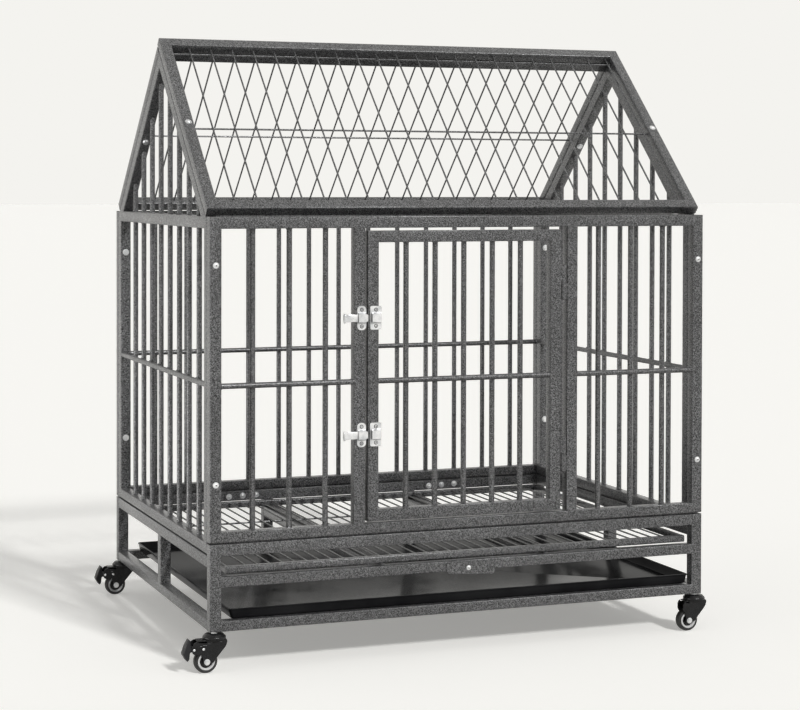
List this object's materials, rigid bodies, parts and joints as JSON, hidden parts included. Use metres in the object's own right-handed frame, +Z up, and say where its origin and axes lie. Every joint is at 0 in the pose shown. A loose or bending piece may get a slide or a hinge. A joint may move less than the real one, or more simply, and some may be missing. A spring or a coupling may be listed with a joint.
{
  "type": "dog cage",
  "caption": "Wheeled dog cage of square steel tube and round bars with a wire gable roof, a latched front door, a pull-out floor grid and a pull-out tray.",
  "frame": {"origin": "on the floor, under the centre of the cage's outer box", "axes": "+Z up, the front with the door faces -Y, and +X is to the right as the front is seen"},
  "size_m": [1.2296, 0.895, 1.349],
  "materials": {
    "frame_paint": "dark grey hammered powder coat",
    "zinc": "bright zinc plate",
    "tray_black": "gloss black enamel",
    "caster_steel": "black pressed steel",
    "tyre": "matte black",
    "hub_white": "white moulded plastic",
    "pedal_grey": "dark grey ribbed plastic"
  },
  "bodies": {
    "cage": {"base_front_frame": "frame_paint", "base_rear_frame": "frame_paint", "base_left_frame": "frame_paint", "base_right_frame": "frame_paint", "floor_support_left": "frame_paint", "floor_support_right": "frame_paint", "rear_rail_plate_left": "frame_paint", "rear_rail_plate_right": "frame_paint", "front_panel": "frame_paint", "rear_panel": "frame_paint", "left_side_panel": "frame_paint", "right_side_panel": "frame_paint", "roof_front_panel": "frame_paint", "roof_rear_panel": "frame_paint", "hinge_upper_frame_knuckle": "frame_paint", "hinge_lower_frame_knuckle": "frame_paint", "latch_upper_plate": "zinc", "latch_lower_plate": "zinc", "turn_button_bolt": "zinc", "caster_front_left_mount": "caster_steel", "caster_front_right_mount": "caster_steel", "caster_rear_left_mount": "caster_steel", "caster_rear_right_mount": "caster_steel"},
    "door_leaf": {"door": "frame_paint", "hinge_upper_door_knuckle": "frame_paint", "hinge_lower_door_knuckle": "frame_paint", "latch_upper_keeper": "zinc", "latch_lower_keeper": "zinc"},
    "upper_bolt": {"latch_upper_bolt": "zinc"},
    "lower_bolt": {"latch_lower_bolt": "zinc"},
    "grid": {"floor_grid": "frame_paint"},
    "waste_tray": {"tray": "tray_black"},
    "turn_button": {"tray_turn_button": "frame_paint"},
    "front_left_swivel_fork": {"caster_front_left_fork": "caster_steel", "caster_front_left_axle_bolt": "zinc"},
    "front_right_swivel_fork": {"caster_front_right_fork": "caster_steel", "caster_front_right_axle_bolt": "zinc"},
    "rear_left_swivel_fork": {"caster_rear_left_fork": "caster_steel", "caster_rear_left_axle_bolt": "zinc"},
    "rear_right_swivel_fork": {"caster_rear_right_fork": "caster_steel", "caster_rear_right_axle_bolt": "zinc"},
    "front_left_wheel": {"caster_front_left_tyre": "tyre", "caster_front_left_hub": "hub_white"},
    "front_right_wheel": {"caster_front_right_tyre": "tyre", "caster_front_right_hub": "hub_white"},
    "rear_left_wheel": {"caster_rear_left_tyre": "tyre", "caster_rear_left_hub": "hub_white"},
    "rear_right_wheel": {"caster_rear_right_tyre": "tyre", "caster_rear_right_hub": "hub_white"},
    "front_left_pedal": {"caster_front_left_brake_pedal": "pedal_grey"},
    "rear_left_pedal": {"caster_rear_left_brake_pedal": "pedal_grey"}
  },
  "joints": [
    {"name": "door_swing", "type": "hinge", "parent": "cage", "child": "door_leaf", "pos_m": [0.2537, -0.432, 0.6], "axis": [0, 0, 1], "range_deg": [0, 120]},
    {"name": "upper_bolt_slide", "type": "slide", "parent": "cage", "child": "upper_bolt", "axis": [1, 0, 0], "range_m": [0, 0.015]},
    {"name": "lower_bolt_slide", "type": "slide", "parent": "cage", "child": "lower_bolt", "axis": [1, 0, 0], "range_m": [0, 0.015]},
    {"name": "grid_slide", "type": "slide", "parent": "cage", "child": "grid", "axis": [0, -1, 0], "range_m": [0, 0.8]},
    {"name": "tray_slide", "type": "slide", "parent": "cage", "child": "waste_tray", "axis": [0, -1, 0], "range_m": [0, 0.8]},
    {"name": "button_turn", "type": "hinge", "parent": "cage", "child": "turn_button", "pos_m": [0.02425, -0.4365, 0.183], "axis": [0, 1, 0], "continuous": true},
    {"name": "front_left_swivel", "type": "hinge", "parent": "cage", "child": "front_left_swivel_fork", "pos_m": [-0.54525, -0.4225, 0.07], "axis": [0, 0, 1], "continuous": true},
    {"name": "front_right_swivel", "type": "hinge", "parent": "cage", "child": "front_right_swivel_fork", "pos_m": [0.58975, -0.4225, 0.07], "axis": [0, 0, 1], "continuous": true},
    {"name": "rear_left_swivel", "type": "hinge", "parent": "cage", "child": "rear_left_swivel_fork", "pos_m": [-0.54525, 0.4225, 0.07], "axis": [0, 0, 1], "continuous": true},
    {"name": "rear_right_swivel", "type": "hinge", "parent": "cage", "child": "rear_right_swivel_fork", "pos_m": [0.58975, 0.4225, 0.07], "axis": [0, 0, 1], "continuous": true},
    {"name": "front_left_wheel_spin", "type": "hinge", "parent": "front_left_swivel_fork", "child": "front_left_wheel", "pos_m": [-0.56425, -0.4225, 0.025], "axis": [0, 1, 0], "continuous": true},
    {"name": "front_right_wheel_spin", "type": "hinge", "parent": "front_right_swivel_fork", "child": "front_right_wheel", "pos_m": [0.57075, -0.4225, 0.025], "axis": [0, 1, 0], "continuous": true},
    {"name": "rear_left_wheel_spin", "type": "hinge", "parent": "rear_left_swivel_fork", "child": "rear_left_wheel", "pos_m": [-0.56425, 0.4225, 0.025], "axis": [0, 1, 0], "continuous": true},
    {"name": "rear_right_wheel_spin", "type": "hinge", "parent": "rear_right_swivel_fork", "child": "rear_right_wheel", "pos_m": [0.57075, 0.4225, 0.025], "axis": [0, 1, 0], "continuous": true},
    {"name": "front_left_brake", "type": "hinge", "parent": "front_left_swivel_fork", "child": "front_left_pedal", "pos_m": [-0.59175, -0.4225, 0.052], "axis": [0, 1, 0], "range_deg": [0, 12]},
    {"name": "rear_left_brake", "type": "hinge", "parent": "rear_left_swivel_fork", "child": "rear_left_pedal", "pos_m": [-0.59175, 0.4225, 0.052], "axis": [0, 1, 0], "range_deg": [0, 12]}
  ]
}
